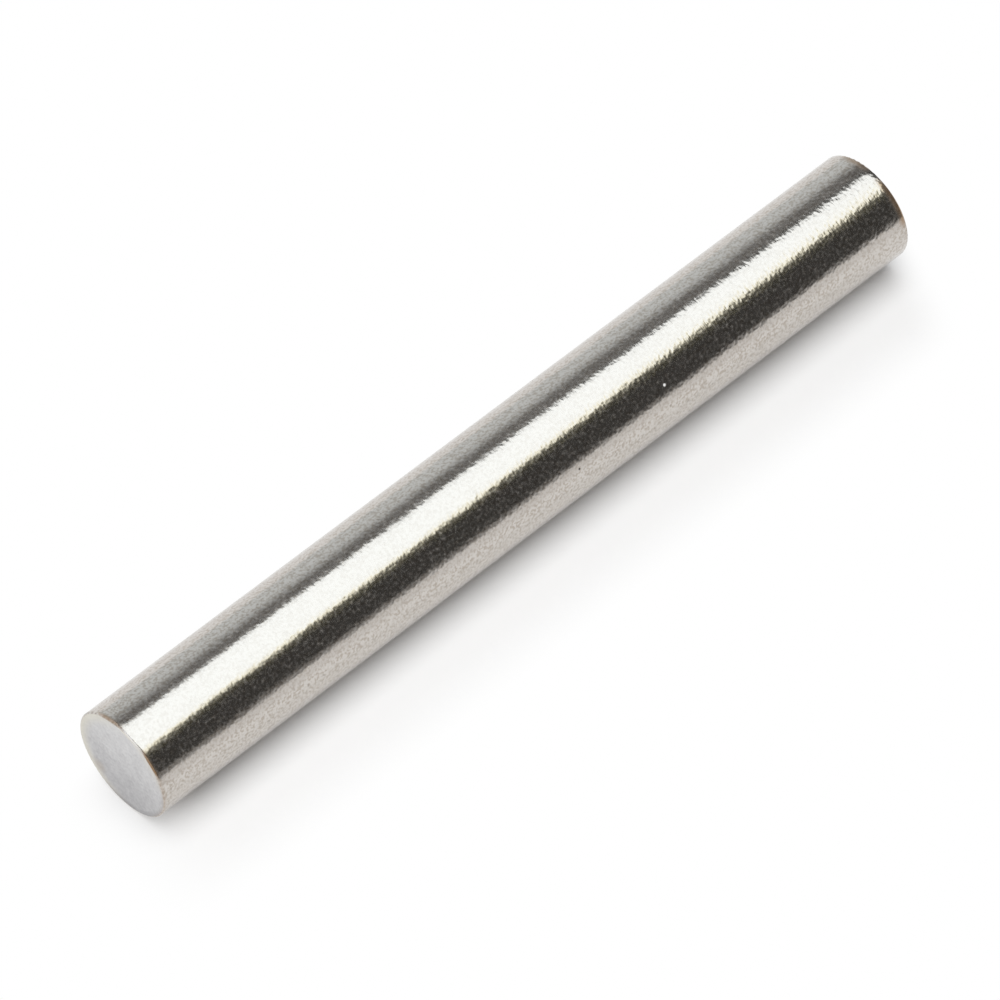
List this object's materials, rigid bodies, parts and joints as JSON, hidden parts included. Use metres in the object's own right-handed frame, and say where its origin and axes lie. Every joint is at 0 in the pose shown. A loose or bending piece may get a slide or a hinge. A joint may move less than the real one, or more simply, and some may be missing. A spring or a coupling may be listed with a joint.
{
  "type": "metal shaft",
  "caption": "Plain round steel shaft with a ground outside, flat square ends and lightly rounded rims, for use as an axle, hinge pin or dowel.",
  "frame": {"origin": "centre of the end face that the shaft stands on", "axes": "+Z along the shaft's axis, up to the other end face; the shaft is the same all round, so X and Y are any two directions square to it"},
  "size_m": [0.006, 0.006, 0.05],
  "materials": {
    "ground_steel": "bright, finely ground round the outside; the end faces matt and paler; a thin brown tint at the rims"
  },
  "bodies": {
    "root": {"shaft": "ground_steel"}
  },
  "joints": []
}
